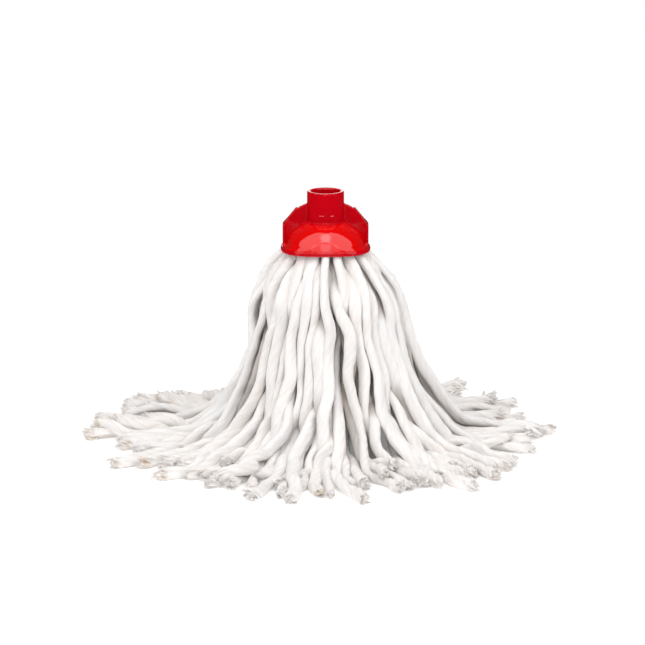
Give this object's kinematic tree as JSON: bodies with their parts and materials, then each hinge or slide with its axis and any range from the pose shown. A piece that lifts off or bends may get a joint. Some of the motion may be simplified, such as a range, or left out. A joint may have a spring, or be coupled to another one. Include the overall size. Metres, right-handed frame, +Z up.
{
  "type": "string mop head",
  "caption": "Socketed string mop head: a domed plastic hood with a threaded handle socket, and thick cotton yarn tails draped to the floor.",
  "frame": {"origin": "on the floor that the yarn lies on, under the axis of the handle socket", "axes": "+Z up along the handle socket's axis; +X to the right through one of the hood's side plates; -Y is the front, where a domed lobe of the hood faces"},
  "size_m": [0.386, 0.3738, 0.2103],
  "materials": {
    "hood_plastic": "glossy injection-moulded polypropylene, bright red",
    "core_plastic": "satin moulded plastic, off-white",
    "wire": "zinc-plated wire",
    "yarn": "soft twisted cotton yarn, off-white, frayed at its ends"
  },
  "bodies": {
    "mop_head": {"hood": "hood_plastic", "retaining_core": "core_plastic", "binding_wire": "wire", "yarn_collar": "yarn", "yarn_tail_04": "yarn", "yarn_tail_08": "yarn", "yarn_tail_12": "yarn", "yarn_tail_16": "yarn", "yarn_tail_20": "yarn", "yarn_tail_24": "yarn", "yarn_tail_28": "yarn", "yarn_tail_32": "yarn", "yarn_tail_36": "yarn", "yarn_tail_40": "yarn"},
    "yarn_lock_01": {"yarn_tail_01": "yarn", "yarn_tail_02": "yarn", "yarn_tail_03": "yarn"},
    "yarn_lock_02": {"yarn_tail_05": "yarn", "yarn_tail_06": "yarn", "yarn_tail_07": "yarn"},
    "yarn_lock_03": {"yarn_tail_09": "yarn", "yarn_tail_10": "yarn", "yarn_tail_11": "yarn"},
    "yarn_lock_04": {"yarn_tail_13": "yarn", "yarn_tail_14": "yarn", "yarn_tail_15": "yarn"},
    "yarn_lock_05": {"yarn_tail_17": "yarn", "yarn_tail_18": "yarn", "yarn_tail_19": "yarn"},
    "yarn_lock_06": {"yarn_tail_21": "yarn", "yarn_tail_22": "yarn", "yarn_tail_23": "yarn"},
    "yarn_lock_07": {"yarn_tail_25": "yarn", "yarn_tail_26": "yarn", "yarn_tail_27": "yarn"},
    "yarn_lock_08": {"yarn_tail_29": "yarn", "yarn_tail_30": "yarn", "yarn_tail_31": "yarn"},
    "yarn_lock_09": {"yarn_tail_33": "yarn", "yarn_tail_34": "yarn", "yarn_tail_35": "yarn"},
    "yarn_lock_10": {"yarn_tail_37": "yarn", "yarn_tail_38": "yarn", "yarn_tail_39": "yarn"}
  },
  "joints": [
    {"name": "yarn_lock_01_lift", "type": "hinge", "parent": "mop_head", "child": "yarn_lock_01", "pos_m": [0.03753, 0.00594, 0.159], "axis": [0.1564, -0.9877, 0], "range_deg": [0, 70]},
    {"name": "yarn_lock_02_lift", "type": "hinge", "parent": "mop_head", "child": "yarn_lock_02", "pos_m": [0.02687, 0.02687, 0.159], "axis": [0.7071, -0.7071, 0], "range_deg": [0, 70]},
    {"name": "yarn_lock_03_lift", "type": "hinge", "parent": "mop_head", "child": "yarn_lock_03", "pos_m": [0.00594, 0.03753, 0.159], "axis": [0.9877, -0.1564, 0], "range_deg": [0, 70]},
    {"name": "yarn_lock_04_lift", "type": "hinge", "parent": "mop_head", "child": "yarn_lock_04", "pos_m": [-0.01725, 0.03386, 0.159], "axis": [0.891, 0.454, 0], "range_deg": [0, 70]},
    {"name": "yarn_lock_05_lift", "type": "hinge", "parent": "mop_head", "child": "yarn_lock_05", "pos_m": [-0.03386, 0.01725, 0.159], "axis": [0.454, 0.891, 0], "range_deg": [0, 70]},
    {"name": "yarn_lock_06_lift", "type": "hinge", "parent": "mop_head", "child": "yarn_lock_06", "pos_m": [-0.03753, -0.00594, 0.159], "axis": [-0.1564, 0.9877, 0], "range_deg": [0, 70]},
    {"name": "yarn_lock_07_lift", "type": "hinge", "parent": "mop_head", "child": "yarn_lock_07", "pos_m": [-0.02687, -0.02687, 0.159], "axis": [-0.7071, 0.7071, 0], "range_deg": [0, 70]},
    {"name": "yarn_lock_08_lift", "type": "hinge", "parent": "mop_head", "child": "yarn_lock_08", "pos_m": [-0.00594, -0.03753, 0.159], "axis": [-0.9877, 0.1564, 0], "range_deg": [0, 70]},
    {"name": "yarn_lock_09_lift", "type": "hinge", "parent": "mop_head", "child": "yarn_lock_09", "pos_m": [0.01725, -0.03386, 0.159], "axis": [-0.891, -0.454, 0], "range_deg": [0, 70]},
    {"name": "yarn_lock_10_lift", "type": "hinge", "parent": "mop_head", "child": "yarn_lock_10", "pos_m": [0.03386, -0.01725, 0.159], "axis": [-0.454, -0.891, 0], "range_deg": [0, 70]}
  ]
}
